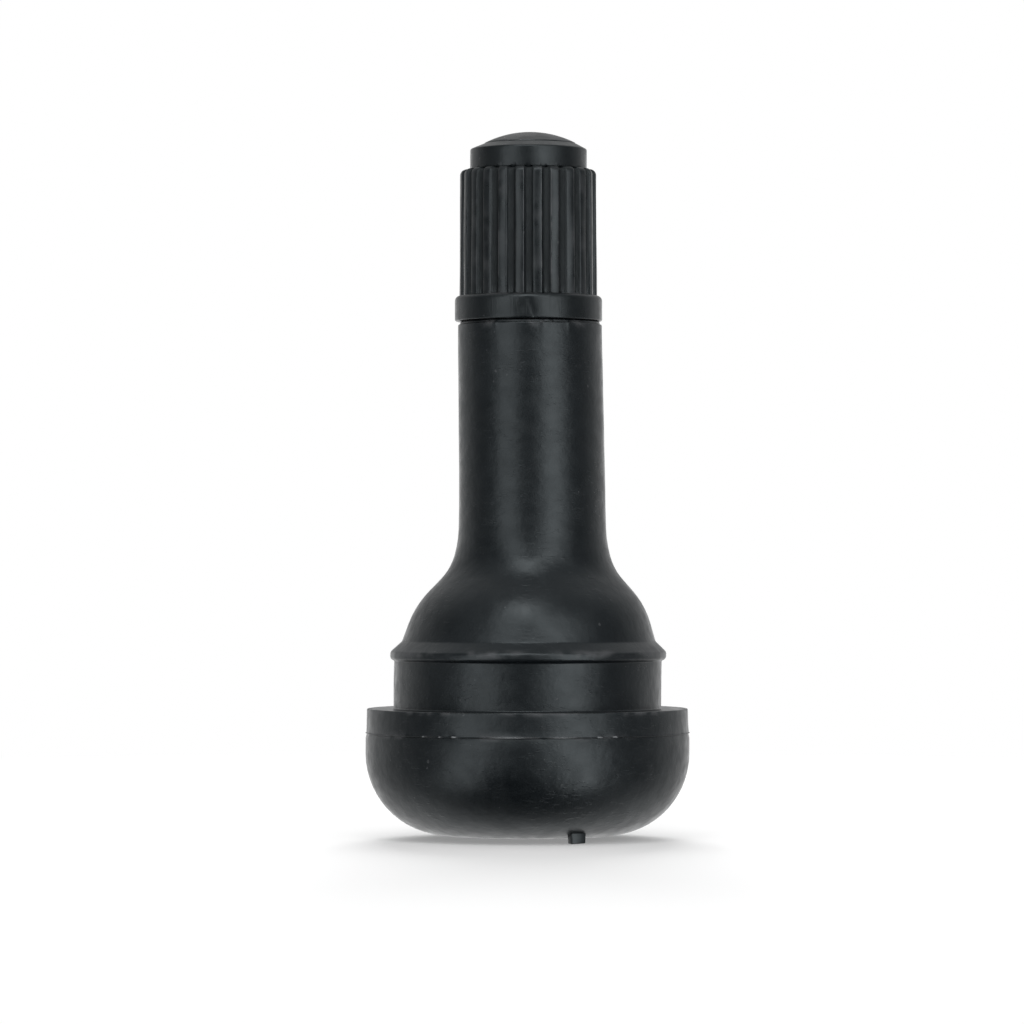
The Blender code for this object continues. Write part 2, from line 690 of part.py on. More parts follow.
def main():
    """Build the valve."""
    for old in list(bpy.data.objects):
        bpy.data.objects.remove(old)
    parts = bpy.data.collections.new("tyre_valve")
    tools = bpy.data.collections.new("cutters")
    bpy.context.scene.collection.children.link(parts)
    bpy.context.scene.collection.children.link(tools)

    heights = body_heights()
    depths = core_depths()
    radii = core_radii()
    mouth = TAB_DROP + heights["mouth"]

    body = make_rubber_body(parts, tools, heights, radii)
    stem = make_brass_stem(parts, heights, depths, radii, mouth)
    plug = make_core_plug(parts, tools, depths, radii, mouth)
    barrel = make_core_barrel(parts, depths, radii, mouth)
    gasket = make_barrel_gasket(parts, depths, radii, mouth)
    pin = make_core_pin(parts, depths, radii, mouth)
    washer = make_seat_gasket(parts, depths, radii, mouth)
    cup = make_pin_cup(parts, depths, radii, mouth)
    spring = make_core_spring(parts, depths, radii, mouth)
    seal = make_cap_seal(parts, radii, mouth)
    cap = make_cap(parts, tools, heights, radii, mouth)

    for piece in (stem, plug, barrel, gasket, spring):
        attach(piece, body)
    for piece in (washer, cup):
        attach(piece, pin)
    attach(cap, seal)

    paint([body], BLACK_RUBBER, roughness=0.45)
    paint([cap], BLACK_PLASTIC, roughness=0.38)
    paint([gasket, washer, seal], GASKET_RUBBER, roughness=0.60)
    paint([stem, plug, barrel, cup], BRASS, roughness=0.28, metallic=1.0)
    paint([pin, spring], STEEL, roughness=0.30, metallic=1.0)

    for tool in list(tools.objects):
        bpy.data.objects.remove(tool)
    bpy.data.collections.remove(tools)


main()
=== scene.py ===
"""Looks of a snap-in rubber tyre valve with a ribbed plastic dust cap, standing on its base.

Lengths are in metres and angles in degrees. +Z runs up the stem, and -Y faces the camera.
Heights are given from FLAT, the flat of the base, from the top of the neck or the foot of the
cap, or from MOUTH, the top of the stem. Outlines are corners (radius, height) or (radius, height,
round), and they run down their outer side.
"""

import math

import bmesh
import bpy
import numpy as np
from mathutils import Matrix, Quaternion, Vector


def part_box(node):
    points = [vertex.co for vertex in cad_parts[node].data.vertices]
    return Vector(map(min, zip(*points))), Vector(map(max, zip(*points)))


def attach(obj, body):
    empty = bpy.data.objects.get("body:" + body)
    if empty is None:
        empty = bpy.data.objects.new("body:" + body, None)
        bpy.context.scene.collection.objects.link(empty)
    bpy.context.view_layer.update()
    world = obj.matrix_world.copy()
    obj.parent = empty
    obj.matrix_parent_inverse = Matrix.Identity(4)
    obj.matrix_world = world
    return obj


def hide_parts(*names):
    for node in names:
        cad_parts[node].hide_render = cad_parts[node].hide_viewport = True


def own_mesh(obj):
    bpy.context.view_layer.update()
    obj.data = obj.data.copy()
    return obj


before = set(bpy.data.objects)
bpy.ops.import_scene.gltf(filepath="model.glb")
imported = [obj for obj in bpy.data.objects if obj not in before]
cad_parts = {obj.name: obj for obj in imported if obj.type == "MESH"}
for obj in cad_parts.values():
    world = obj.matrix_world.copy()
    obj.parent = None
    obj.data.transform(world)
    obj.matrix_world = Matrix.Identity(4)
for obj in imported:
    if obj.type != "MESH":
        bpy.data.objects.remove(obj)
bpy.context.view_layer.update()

# Places taken from the frame
NECK_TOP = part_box("rubber_body")[1].z
BASE_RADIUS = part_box("rubber_body")[1].x
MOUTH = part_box("brass_stem")[1].z
STEM_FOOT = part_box("brass_stem")[0].z
CAP_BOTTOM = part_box("cap")[0].z
CAP_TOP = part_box("cap")[1].z
PLUG_LOW, PLUG_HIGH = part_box("core_plug")
SPRING_LOW, SPRING_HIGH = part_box("core_spring")

# Height of the base's flat above the foot of the moulding tab
FLAT = 0.00025

# Threads, right-handed: the mouth's and the valve core's
MOUTH_PITCH = 0.0254 / 32
MOUTH_CREST = 0.00385
MOUTH_ROOT = 0.00345
MOUTH_THREAD_END = 0.0088
MOUTH_RUN_OUT = 0.0009
CORE_PITCH = 0.0254 / 36
CORE_CREST = 0.00263
CORE_ROOT = 0.00233
CORE_THREAD_LENGTH = 0.0034
CORE_THREAD_PAST = 0.0015
CORE_THREAD_LEAD = (0.0015, 0.0022)
THREAD_CLEARANCE = 0.00005
THREAD_FLAT = 0.18

# Rubber body
PARTING = FLAT + 0.0065
FLANGE_TOP = FLAT + 0.00806
FLANGE_RADIUS = 0.01025
BASE_CORNER = 0.0052
GROOVE_RADIUS = 0.00855
GROOVE_TOP = FLAT + 0.0111
BEAD_RADIUS = 0.00882
BEAD_LOW = FLAT + 0.01126
BEAD_HIGH = FLAT + 0.01168
SHOULDER = (0.0081, FLAT + 0.01236)
BELL = (0.00733, FLAT + 0.01468)
WAIST = (0.00522, FLAT + 0.01696)
NECK_FOOT = (0.00474, FLAT + 0.01866)
NECK = (0.00468, FLAT + 0.0210)
NECK_TOP_RADIUS = 0.0046
RIDGE_RADIUS = 0.00444
RIDGE_TOP = NECK_TOP + 0.00018
LIP_RADIUS = 0.00378
LIP_TOP = NECK_TOP + 0.00042
AIR_HOLE = 0.0021
STEM_GAP = 0.00005
STEM_FOOT_RADIUS = 0.0050
STEM_FOOT_THICKNESS = 0.0010
STEM_FOOT_CONE = 0.0014
BASE_SHIFT = -0.00006
NECK_SHIFT = 0.00025
TOP_RETURN = 0.000177
BEND_LOW = (0.0095, 0.0190)
BEND_HIGH = (0.0200, 0.0360)
BODY_WAVE = 0.000012

# Corners of the parting line's step: how far past BASE_RADIUS and PARTING, and the round
PARTING_STEP = (
    (-0.00005, 0.00014),
    (-0.00005, 0.00006),
    (0.00002, 0.00003, 0.00002),
    (0.0, 0.0),
    (-0.00007, -0.00003),
    (-0.00005, -0.00010),
    (0.0, -0.00030),
)

# Flash on the parting line and burrs on the neck: angle, height, width in degrees, tall, rise
FLASH = (
    (-128.7, PARTING + 0.00003, 0.7, 0.00005, 0.00008),
    (-122.0, PARTING + 0.00003, 0.6, 0.00005, 0.00007),
    (-116.5, PARTING + 0.00004, 0.8, 0.00006, 0.00010),
    (-64.5, PARTING + 0.00003, 1.3, 0.00005, 0.00008),
    (-58.3, PARTING + 0.00004, 1.0, 0.00006, 0.00009),
    (-97.0, PARTING + 0.00003, 8.0, 0.00004, 0.00007),
    (-78.0, PARTING + 0.00003, 7.0, 0.00004, 0.00006),
    (40.0, PARTING + 0.00003, 1.2, 0.00006, 0.00007),
    (118.0, PARTING + 0.00003, 7.0, 0.00005, 0.00004),
    (150.0, PARTING + 0.00003, 1.0, 0.00006, 0.00008),
    (-168.0, PARTING, 2.0, 0.00018, 0.00003),
    (2.0, PARTING + 0.0001, 2.5, 0.00020, 0.00003),
)
NECK_BURRS = (
    (-80.0, NECK_TOP, 1.5, 0.00010, 0.00007),
    (-73.0, NECK_TOP, 1.0, 0.00008, 0.00009),
    (-58.0, NECK_TOP, 1.8, 0.00015, 0.00006),
    (-118.0, NECK_TOP, 2.0, 0.00012, 0.00005),
    (35.0, NECK_TOP, 2.5, 0.00012, 0.00006),
    (130.0, NECK_TOP, 2.0, 0.00012, 0.00007),
)

# Worn edges: height, reach up and down, and the radius that they lie outside. FLASH_WEAR is the
# rise at which the flash is fully worn; past it, it gets a pale painted glint.
WORN_EDGES = (
    (FLANGE_TOP, 0.00022, FLANGE_RADIUS - 0.0005),
    (BEAD_HIGH, 0.00030, BEAD_RADIUS - 0.0003),
    (PARTING, 0.00016, 0.0),
    (NECK_TOP, 0.00015, 0.0),
)
FLASH_WEAR = 0.00003

# Moulding tab under the base
TAB_ANGLE = -64.0
TAB_RADIUS = BASE_RADIUS - 0.00349
TAB_SIZE = (0.0006, 0.00105)
TAB_FOOT_SHARE = (0.92, 0.94)
TAB_FOOT_SLOPE = 0.00006
TAB_BEVEL = 0.00007
TAB_TOP = 0.0011

# Dust cap
COLLAR_RADIUS = 0.00471
COLLAR_TOP = CAP_BOTTOM + 0.00163
VALLEY_RADIUS = 0.00415
CREST_LOW_RADIUS = 0.00441
CREST_HIGH_RADIUS = 0.00436
VALLEY_TOP = MOUTH + 0.00037
CREST_TOP = MOUTH + 0.0005
CROWN_RADIUS = 0.00373
CROWN_TOP = MOUTH + 0.00180
DOME_TOP = CAP_TOP + 0.00003
DOME_SHIFT = 0.0001
DOME_RADIUS = 0.00290
DOME_SPHERE = 0.0064
CROWN_BORE = 0.0032
CAP_ROOF = MOUTH + 0.0013
CONE_FOOT = 0.0009
CONE_HEAD = 0.00006
CAP_THREAD_START = 0.0002
CAP_THREAD_LEAD = 0.0008
CAP_WAVE = 0.000006
CAP_LUMPS = (
    (-87.0, CAP_BOTTOM, 0.9, 0.00008, 0.00006),
    (-104.0, CAP_BOTTOM, 6.0, 0.00005, 0.00003),
    (60.0, CAP_BOTTOM, 1.5, 0.00008, 0.00006),
    (-75.0, COLLAR_TOP, 3.0, 0.00010, 0.00004),
    (-96.0, CAP_BOTTOM + 0.00060, 3.5, 0.00030, -0.00004),
    (-89.0, CAP_BOTTOM + 0.00095, 2.5, 0.00025, -0.00004),
    (-87.0, CAP_BOTTOM + 0.00045, 2.0, 0.00020, -0.00004),
)

# Ribs: the share of a crest's height by the angle from its middle, and each crest's lean
RIBS = 24
RIB_PITCH = 360.0 / RIBS
RIB_PHASE = 7.5
RIB_FORM = {
    0.0: 1.0, 2.6: 0.985, 3.2: 0.945, 3.55: 0.89, 3.85: 0.80, 4.15: 0.66, 4.5: 0.45,
    5.0: 0.25, 5.7: 0.10, 6.5: 0.02, 7.5: 0.0}
RIB_LEAN = 0.00009
RIB_LEANS = (
    0.3, -0.6, 0.7, -0.2, 0.5, -0.8, 0.1, 0.6, -0.4, -0.7, 0.8, 0.2,
    -0.5, 0.4, -0.2, 0.3, 0.1, 0.7, 0.8, 0.5, 1.3, 0.3, -0.6, -0.3)
RIB_TWIST = 0.35

# Rubbed lines on the ribs: the angle from the crest, its reach, the wear and the first phase
RUBBED_AT = 3.2
RUBBED_REACH = 0.15
RUBBED_STRONG = (0.8, 0.65)
RUBBED_FAINT = 0.3
RUBBED_PHASE = 0.6

# Moulded surfaces: how strongly each kind of mark shows, with the painted shade of the flutes and
# the painted glint of the flash, and the ranges of noise that make it
SHEEN_TINT = (0.87, 0.965, 1.0, 1.0)
# Painted highlight: the pale colour painted on the tallest flash as its glint
FLASH_GLINT_COLOR = (0.24, 0.25, 0.26)
# Painted shade: the dark colour given to the flutes between the cap's ribs
FLUTE_SHADE_COLOR = (0.0040, 0.0052, 0.0058)
DRAG_SHARE = 0.035
SPECK_SHARE = 0.35
WORN_SHARE = 0.5
# Painted shade: how strongly the flutes between the ribs are darkened
FLUTE_SHADE_SHARE = 0.8
# Painted highlight: how strongly the flash's painted glint shows
FLASH_GLINT_SHARE = 0.9
WORN_ROUGHER = 0.08
HOLLOW_ROUGHER = 0.40
WAVES_TO_GRAIN = 6
MOTTLE_RANGE = (0.35, 0.68)
DRAG_ZONE_RANGE = (0.42, 0.60)
DRAG_RANGE = (0.56, 0.70)
SPECK_RANGE = (0.775, 0.80)
WORN_RANGE = (0.34, 0.62)
# Painted highlight: the wear values over which the flash's painted glint comes in
FLASH_GLINT_RANGE = (1.1, 1.8)

# Camera and studio
CAMERA_PLACE = (-0.00105, -0.311, 0.01755)
CAMERA_TILT = 90.61
CAMERA_LENS = 171.0
FLOOR_SIZE = 6.0
FLOOR_COLOR = (0.69, 0.69, 0.69)
FLOOR_GLOW = 0.25
SHADOW_REACH = 0.07

# The world's light by direction: a range of X, Y or Z, and the levels at its ends
SIDE_Y = (-0.1, 0.75, 0.20, 0.66)
FALL_Z = (0.05, 0.45, 1.0, 0.70)
DEEP_Z = (-0.12, -0.45, 0.0, 0.85)
FRONT_Y = (0.4, -0.1)
MIDDLE_X = (0.75, 0.35)
BACKDROP_Y = (0.82, 0.97)
BACKDROP_Z = (0.20, 0.02, 0.0, 0.6)
ABOVE_Z = (0.30, 0.95, 0.0, 0.28)
BELOW_Y = (-0.55, 0.30)
BELOW_Z = (-0.30, -0.85, 0.0, 0.42)


def smooth(low, high, value):
    """0 below low, 1 above high, and a smooth rise between."""
    share = np.clip((value - low) / (high - low), 0.0, 1.0)
    return share * share * (3 - 2 * share)


def rounded(corners, closed=True, longest=0.00025, arc_step=6.0):
    """Points of a sketch with its corners rounded and its sides cut into short steps."""
    points = []
    count = len(corners)
    for index, corner in enumerate(corners):
        here = Vector(corner[:2])
        at_end = not closed and index in (0, count - 1)
        if len(corner) == 2 or at_end:
            points.append(here)
            continue
        before = corners[index - 1]
        after = corners[(index + 1) % count]
        back = Vector(before[:2]) - here
        ahead = Vector(after[:2]) - here
        half_turn = (math.pi - back.angle(ahead)) / 2
        if half_turn < 0.02:
            points.append(here)
            continue
        back_room = back.length * (0.5 if len(before) == 3 else 1.0)
        ahead_room = ahead.length * (0.5 if len(after) == 3 else 1.0)
        reach = min(corner[2] * math.tan(half_turn), back_room, ahead_room)
        radius = reach / math.tan(half_turn)
        middle = (back.normalized() + ahead.normalized()).normalized()
        centre = here + middle * (radius / math.cos(half_turn))
        start = here + back.normalized() * reach - centre
        end = here + ahead.normalized() * reach - centre
        first = math.atan2(start.y, start.x)
        sweep = math.remainder(math.atan2(end.y, end.x) - first, 2 * math.pi)
        steps = max(3, math.ceil(math.degrees(2 * half_turn) / arc_step))
        for step in range(steps + 1):
            angle = first + sweep * step / steps
            points.append(centre + radius * Vector((math.cos(angle), math.sin(angle))))
    return spaced(points, closed, longest)


def spaced(points, closed, longest):
    """The same outline with no side longer than a length, and no doubled points."""
    result = []
    sides = len(points) if closed else len(points) - 1
    for index in range(sides):
        here = points[index]
        ahead = points[(index + 1) % len(points)]
        length = (ahead - here).length
        if length < 1e-7:
            continue
        parts = max(1, math.ceil(length / longest))
        result += [here.lerp(ahead, part / parts) for part in range(parts)]
    if not closed:
        result.append(points[-1])
    return np.array([tuple(point) for point in result])


def refined(outline, inside, longest):
    """A closed outline with its sides inside a zone cut into shorter steps."""
    result = []
    for here, ahead in zip(outline, np.roll(outline, -1, axis=0)):
        length = np.hypot(*(ahead - here))
        parts = math.ceil(length / longest) if inside(*(here + ahead) / 2) else 1
        result += [here + (ahead - here) * part / parts for part in range(parts)]
    return np.array(result)


def even_angles(count):
    """Angles in radians, evenly spread round the axis."""
    return np.arange(count) * (2 * math.pi / count)


def spin(outline, angles):
    """Radius, height and angle of an outline's points turned through the angles."""
    radius = np.repeat(outline[:, :1], len(angles), axis=1)
    height = np.repeat(outline[:, 1:], len(angles), axis=1)
    angle = np.repeat(angles[None, :], len(outline), axis=0)
    return radius, height, angle


def skin(name, radius, height, angle, closed=True, shift=0.0, sharp=38.0):
    """Mesh object over rings of points. An open outline ends on the axis."""
    rows, columns = radius.shape
    x = radius * np.cos(angle) + shift
    y = radius * np.sin(angle)
    points = np.stack([x, y, height], axis=-1).reshape(-1, 3)
    row = np.arange(rows if closed else rows - 1)[:, None]
    column = np.arange(columns)[None, :]
    below = (row + 1) % rows
    beside = (column + 1) % columns
    corners = [
        row * columns + column,
        below * columns + column,
        below * columns + beside,
        row * columns + beside,
    ]
    faces = np.stack(corners, axis=-1).reshape(-1, 4)
    mesh = bpy.data.meshes.new(name)
    mesh.from_pydata(points.tolist(), [], faces.tolist())
    if not closed:
        weld(mesh)
    finish_mesh(mesh, sharp)
    piece = bpy.data.objects.new(name, mesh)
    bpy.context.scene.collection.objects.link(piece)
    return piece


def weld(mesh, distance=1e-7):
    """Join points that lie on one another."""
    shape = bmesh.new()
    shape.from_mesh(mesh)
    bmesh.ops.remove_doubles(shape, verts=shape.verts, dist=distance)
    shape.to_mesh(mesh)
    shape.free()


def finish_mesh(mesh, sharp):
    """Smooth shading with creases kept."""
    mesh.shade_smooth()
    mesh.set_sharp_from_angle(angle=math.radians(sharp))


def section(node):
    """Outline of a turned CAD node, read where its mesh crosses the +X side, in order."""
    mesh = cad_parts[node].data
    keys = [tuple(round(c, 6) for c in vertex.co) for vertex in mesh.vertices]
    links = {}
    for edge in mesh.edges:
        first, second = (keys[i] for i in edge.vertices)
        in_plane = all(abs(k[1]) < 1e-6 and k[0] > -1e-6 for k in (first, second))
        if in_plane and first != second:
            links.setdefault(first, set()).add(second)
            links.setdefault(second, set()).add(first)
    ends = [key for key, near in links.items() if len(near) == 1]
    start = max(ends or links, key=lambda key: (key[2], key[0]))
    path = [start]
    following = min(links[start], key=lambda key: (key[2], -key[0]))
    while following not in path:
        path.append(following)
        onward = [key for key in links[following] if key not in path]
        if not onward:
            break
        following = onward[0]
    return [(key[0], key[2]) for key in path], not ends


def softened(corners, bevel):
    """Corners with one small round on each."""
    return [(radius, height, bevel) for radius, height in corners]


def thread_rise(height, angle, pitch):
    """Right-hand thread form: 1 on the crest and 0 in the root."""
    turn = (height - MOUTH) / pitch - angle / (2 * math.pi)
    from_crest = np.abs(turn - np.round(turn)) * 2
    return np.clip((1 - from_crest - THREAD_FLAT / 2) / (1 - THREAD_FLAT), 0.0, 1.0)


def stand_in(piece, node, body, material):
    """Let a piece take a CAD node's place, body and material slot."""
    piece.data.materials.append(material)
    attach(piece, body)
    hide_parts(node)


def lumps(angle, height, places):
    """Small raised spots: each place is (angle, height, width in degrees, tall, rise)."""
    total = np.zeros_like(angle)
    for at, level, width, tall, rise in places:
        turn = np.degrees(angle) - at
        turn = (turn + 180) % 360 - 180
        total += rise * np.exp(-(turn / width) ** 2 - ((height - level) / tall) ** 2)
    return total


def ripple(angle, height, seed, waves, scale):
    """Soft unevenness: a few low waves round the piece and along it, with fixed phases."""
    phases = np.random.default_rng(seed).uniform(0, 2 * math.pi, size=(waves, 2))
    total = np.zeros_like(angle)
    for number, (turn_phase, rise_phase) in enumerate(phases, start=1):
        along = height * 2 * math.pi * number * scale
        total += np.sin(angle * number + turn_phase) * np.cos(along + rise_phase) / number
    return total


def node(tree, kind, settings=None, **inputs):
    """Add a shader node. Inputs are named by their labels, with _ for a space."""
    made = tree.nodes.new(kind)
    for key, value in (settings or {}).items():
        setattr(made, key, value)
    for key, value in inputs.items():
        feed(tree, made.inputs[key.replace("_", " ")], value)
    return made


def feed(tree, socket, value):
    """Link a socket to an input, or set the input's value."""
    if isinstance(value, bpy.types.NodeSocket):
        tree.links.new(value, socket)
    else:
        socket.default_value = value


def place(tree, stretch=(1.0, 1.0, 1.0)):
    """Object coordinates, stretched along the axes."""
    coordinates = node(tree, "ShaderNodeTexCoord").outputs["Object"]
    mapping = node(tree, "ShaderNodeMapping", Vector=coordinates, Scale=stretch)
    return mapping.outputs["Vector"]


def noise(tree, vector, scale, detail=2.0, rough=0.5):
    """Noise with values round 0.5."""
    made = node(
        tree, "ShaderNodeTexNoise", Vector=vector, Scale=scale, Detail=detail, Roughness=rough)
    return made.outputs["Fac"]


def remap(tree, value, low, high, to_low=0.0, to_high=1.0):
    """Move a range of values to another range, held at its ends."""
    made = node(
        tree, "ShaderNodeMapRange", {"interpolation_type": "SMOOTHSTEP"},
        Value=value, From_Min=low, From_Max=high, To_Min=to_low, To_Max=to_high)
    return made.outputs["Result"]


def arithmetic(tree, operation, first, second):
    """One math node."""
    made = node(tree, "ShaderNodeMath", {"operation": operation})
    feed(tree, made.inputs[0], first)
    feed(tree, made.inputs[1], second)
    return made.outputs[0]


def times(tree, first, second):
    """Product of two values."""
    return arithmetic(tree, "MULTIPLY", first, second)


def mixed(tree, share, first, second):
    """Mix two colours."""
    made = node(tree, "ShaderNodeMix", {"data_type": "RGBA"})
    feed(tree, made.inputs["Factor"], share)
    for label, color in (("A", first), ("B", second)):
        socket = next(s for s in made.inputs if s.name == label and s.type == "RGBA")
        feed(tree, socket, color if isinstance(color, bpy.types.NodeSocket) else (*color, 1.0))
    return next(s for s in made.outputs if s.type == "RGBA")


def relief(tree, height, distance, normal=None):
    """Bump from a height, with its depth in metres."""
    made = node(tree, "ShaderNodeBump", Height=height, Distance=distance, Strength=1.0)
    if normal is not None:
        feed(tree, made.inputs["Normal"], normal)
    return made.outputs["Normal"]


def blank_material(name):
    """A material with its node tree and shader."""
    material = bpy.data.materials.new(name)
    material.use_nodes = True
    return material, material.node_tree, material.node_tree.nodes["Principled BSDF"]


def make_moulded(name, dark, pale, worn, smoothest, roughest, grain_depth, lay, lay_depth):
    """Moulded black rubber or plastic: waves, grain, fine drag marks, dust and worn edges, with
    painted shade in the flutes and a painted glint on the flash.
    """
    material, tree, shader = blank_material(name)
    plain = place(tree)
    mottle = noise(tree, plain, scale=320.0, detail=3.0)
    grain = noise(tree, plain, scale=5200.0, detail=3.0, rough=0.6)
    cloud = noise(tree, plain, scale=1100.0)
    drag = noise(tree, place(tree, lay), scale=1.0, detail=3.0, rough=0.6)
    drag_zone = remap(tree, noise(tree, plain, scale=260.0), *DRAG_ZONE_RANGE)
    marks = times(tree, remap(tree, drag, *DRAG_RANGE), drag_zone)
    speck = remap(tree, noise(tree, plain, scale=2600.0, detail=1.0), *SPECK_RANGE)
    wear = node(tree, "ShaderNodeAttribute", {"attribute_name": "wear"}).outputs["Fac"]
    rubbed = times(tree, remap(tree, wear, 0.0, 1.0), remap(tree, cloud, *WORN_RANGE))
    # Painted highlight: wear past 1, on the tallest flash, turns into a pale glint
    torn = remap(tree, wear, *FLASH_GLINT_RANGE)
    # Painted shade: the flutes between the ribs, darkened and made rougher
    hollow = node(tree, "ShaderNodeAttribute", {"attribute_name": "hollow"}).outputs["Fac"]
    color = mixed(tree, remap(tree, mottle, *MOTTLE_RANGE), dark, pale)
    color = mixed(tree, times(tree, marks, DRAG_SHARE), color, worn)
    color = mixed(tree, times(tree, speck, SPECK_SHARE), color, worn)
    color = mixed(tree, times(tree, rubbed, WORN_SHARE), color, worn)
    # Painted shade in the flutes between the ribs
    color = mixed(tree, times(tree, hollow, FLUTE_SHADE_SHARE), color, FLUTE_SHADE_COLOR)
    # Painted glint on the tallest flash
    color = mixed(tree, times(tree, torn, FLASH_GLINT_SHARE), color, FLASH_GLINT_COLOR)
    feed(tree, shader.inputs["Base Color"], color)
    shader.inputs["Specular Tint"].default_value = SHEEN_TINT
    rough = remap(tree, cloud, 0.30, 0.70, smoothest, roughest)
    rough = arithmetic(tree, "ADD", rough, times(tree, rubbed, WORN_ROUGHER))
    dull = times(tree, hollow, HOLLOW_ROUGHER)
    feed(tree, shader.inputs["Roughness"], arithmetic(tree, "ADD", rough, dull))
    wavy = relief(tree, cloud, grain_depth * WAVES_TO_GRAIN)
    dragged = relief(tree, marks, lay_depth, normal=wavy)
    feed(tree, shader.inputs["Normal"], relief(tree, grain, grain_depth, normal=dragged))
    return material


def make_metal(name, bright, dull, smoothest, roughest, groove_depth):
    """Turned metal: fine tool marks round the axis, with patches where it has dulled."""
    material, tree, shader = blank_material(name)
    plain = place(tree)
    marks = noise(tree, place(tree, (160.0, 160.0, 9000.0)), scale=1.0, detail=3.0)
    patches = noise(tree, plain, scale=600.0, detail=4.0)
    fine = noise(tree, plain, scale=6000.0)
    share = remap(tree, patches, 0.40, 0.70)
    feed(tree, shader.inputs["Base Color"], mixed(tree, share, bright, dull))
    shader.inputs["Metallic"].default_value = 1.0
    rough = remap(tree, patches, 0.35, 0.70, smoothest, roughest)
    feed(tree, shader.inputs["Roughness"], rough)
    turned = relief(tree, marks, groove_depth)
    feed(tree, shader.inputs["Normal"], relief(tree, fine, groove_depth / 3, normal=turned))
    return material


def make_soft_rubber(name):
    """Matt gasket rubber with a dusty bloom."""
    material, tree, shader = blank_material(name)
    plain = place(tree)
    bloom = noise(tree, plain, scale=1400.0, detail=4.0)
    grain = noise(tree, plain, scale=8000.0)
    dusty = remap(tree, bloom, 0.40, 0.70)
    color = mixed(tree, dusty, (0.024, 0.024, 0.026), (0.05, 0.05, 0.052))
    feed(tree, shader.inputs["Base Color"], color)
    feed(tree, shader.inputs["Roughness"], remap(tree, bloom, 0.3, 0.7, 0.50, 0.68))
    feed(tree, shader.inputs["Normal"], relief(tree, grain, distance=0.00001))
    return material


def store(piece, name, values):
    """Store a value of each point for the material: worn edges (up to 2 where the flash gets a
    painted glint) or the painted shade of the flutes.
    """
    made = piece.data.attributes.new(name, "FLOAT", "POINT")
    made.data.foreach_set("value", np.clip(values, 0, 2).astype(np.float32).ravel())


def near(height, level, reach):
    """1 at a level, falling to 0 at a reach above and below it."""
    return np.exp(-((height - level) / reach) ** 2)


def make_rubber_body(material):
    """The moulding round the stem, with its parting line, flash, tab and worn edges."""
    hole = MOUTH_ROOT + STEM_GAP
    foot_top = STEM_FOOT + STEM_FOOT_THICKNESS
    outline = rounded([
        (RIDGE_RADIUS, RIDGE_TOP, 0.00008),
        (RIDGE_RADIUS + 0.00004, NECK_TOP),
        (NECK_TOP_RADIUS, NECK_TOP - 0.00003, 0.00010),
        (*NECK, 0.0200),
        (*NECK_FOOT, 0.0100),
        (*WAIST, 0.0036),
        (*BELL, 0.0070),
        (*SHOULDER, 0.0003),
        (BEAD_RADIUS, BEAD_HIGH, 0.0003),
        (BEAD_RADIUS, BEAD_LOW, 0.0003),
        (GROOVE_RADIUS, GROOVE_TOP, 0.0001),
        (GROOVE_RADIUS, FLANGE_TOP, 0.0001),
        (FLANGE_RADIUS, FLANGE_TOP, 0.00008),
        (FLANGE_RADIUS + 0.00001, FLANGE_TOP - 0.0003),
        *[(BASE_RADIUS + out, PARTING + up, *bend) for out, up, *bend in PARTING_STEP],
        (BASE_RADIUS, FLAT, BASE_CORNER),
        (AIR_HOLE + 0.0002, FLAT),
        (AIR_HOLE, FLAT + 0.0002),
        (AIR_HOLE, STEM_FOOT - STEM_GAP),
        (STEM_FOOT_RADIUS + STEM_GAP, STEM_FOOT - STEM_GAP),
        (STEM_FOOT_RADIUS + STEM_GAP, foot_top + STEM_GAP),
        (hole, foot_top + STEM_GAP + STEM_FOOT_CONE),
        (hole, LIP_TOP, 0.00004),
        (LIP_RADIUS, LIP_TOP, 0.00010),
        (LIP_RADIUS, RIDGE_TOP - 0.0001),
    ], longest=0.002)
    outline = refined(outline, lambda radius, height: radius > LIP_RADIUS, longest=0.00055)
    radius, height, angle = spin(outline, even_angles(360))
    # The outer skin is what lies outside the bore and away from the stem's foot
    outer = radius > LIP_RADIUS + 0.00005
    outer &= (height > STEM_FOOT + 0.003) | (radius > STEM_FOOT_RADIUS + 0.001)
    wave = ripple(angle, height, seed=4, waves=5, scale=60.0)
    radius = radius + outer * wave * BODY_WAVE
    flash = lumps(angle, height, FLASH)
    radius = radius + outer * (flash + lumps(angle, height, NECK_BURRS))
    bend = BASE_SHIFT + (NECK_SHIFT - BASE_SHIFT) * smooth(*BEND_LOW, height)
    bend = bend - TOP_RETURN * smooth(*BEND_HIGH, height)
    body = skin("valve_rubber", radius, height, angle, shift=np.where(outer, bend, 0.0))
    nick = ripple(angle * 9, height, seed=9, waves=4, scale=400.0)
    edges = sum(near(height, level, reach) * (radius > inner) for level, reach, inner in WORN_EDGES)
    worn = np.clip(edges * (0.55 + 0.45 * nick) * outer, 0, 1)
    # The flash gets wear by its rise; past FLASH_WEAR the material paints a pale glint on it
    store(body, "wear", np.maximum(worn, flash / FLASH_WEAR))
    add_tab(body)
    stand_in(body, "rubber_body", "root", material)


